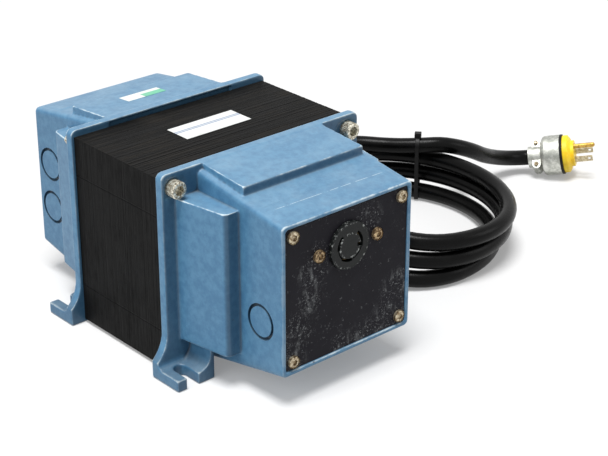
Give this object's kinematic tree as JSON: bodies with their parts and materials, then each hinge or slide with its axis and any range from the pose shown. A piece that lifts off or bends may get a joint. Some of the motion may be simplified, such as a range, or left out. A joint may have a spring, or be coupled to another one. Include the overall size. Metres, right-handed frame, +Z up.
{
  "type": "power conditioner transformer",
  "caption": "Laminated-core power conditioning transformer with two cast end bells, a locking receptacle on the front cover and a power cord with plug.",
  "frame": {"origin": "on the floor under the feet, below the middle of the core between the two bells", "axes": "+Z up, -Y toward the front cover plate with the receptacle, +X toward the side where the cord leaves"},
  "size_m": [0.5769, 0.3296, 0.1735],
  "materials": {
    "blue_casting": "satin enamel",
    "black_plate": "worn satin",
    "black_iron": "matte varnish",
    "yellow_zinc": "yellow zinc",
    "zinc": "zinc plated",
    "insulation": "varnished paper",
    "bobbin_plastic": "matte",
    "copper": "enamelled",
    "black_plastic": "satin",
    "brass": "satin",
    "red_wire": "satin",
    "brown_wire": "satin",
    "green_wire": "satin",
    "blue_wire": "satin",
    "orange_plastic": "satin",
    "green_metal": "satin",
    "aluminium_can": "satin",
    "black_rubber": "satin",
    "plug_metal": "cast zinc",
    "yellow_plastic": "gloss",
    "blade_metal": "satin",
    "white_label": "gloss",
    "green_label": "gloss"
  },
  "bodies": {
    "root": {"front_bell": "blue_casting", "rear_bell": "blue_casting", "front_cover_plate": "black_plate", "rear_cover_plate": "black_plate", "front_cover_screws": "yellow_zinc", "rear_cover_screws": "yellow_zinc", "core_e_laminations": "black_iron", "core_i_laminations": "black_iron", "tie_bolts_upper": "zinc", "tie_bolts_lower": "zinc", "tie_bolt_washers": "zinc", "tie_bolt_nuts": "zinc", "tie_bolt_sleeves": "insulation", "bobbin": "bobbin_plastic", "primary_winding": "copper", "layer_insulation": "insulation", "shield_foil": "copper", "secondary_winding": "copper", "outer_wrap": "insulation", "receptacle_face": "black_plastic", "receptacle_body": "black_plastic", "receptacle_strap": "zinc", "receptacle_contacts": "brass", "receptacle_screws": "yellow_zinc", "receptacle_terminal_screws": "brass", "secondary_leads": "red_wire", "primary_leads": "brown_wire", "cord_conductors": "green_wire", "splice_caps": "orange_plastic", "ground_screw": "green_metal", "ground_lug": "brass", "capacitor_can": "aluminium_can", "capacitor_strap": "zinc", "capacitor_screws": "zinc", "capacitor_terminals": "brass", "capacitor_leads": "blue_wire", "surge_suppressor": "orange_plastic", "gland_body": "black_plastic", "gland_locknut": "black_plastic", "gland_cap": "black_plastic", "gland_bushing": "black_rubber", "cord_lead": "black_rubber", "cord_coil": "black_rubber", "cord_tail": "black_rubber", "cable_tie": "black_plastic", "plug_sleeve": "plug_metal", "plug_gasket_ring": "black_rubber", "plug_body": "yellow_plastic", "plug_blades": "blade_metal", "plug_ground_pin": "brass", "plug_clamp": "plug_metal", "plug_clamp_screws": "yellow_zinc", "top_label": "white_label", "rear_label": "green_label"}
  },
  "joints": []
}
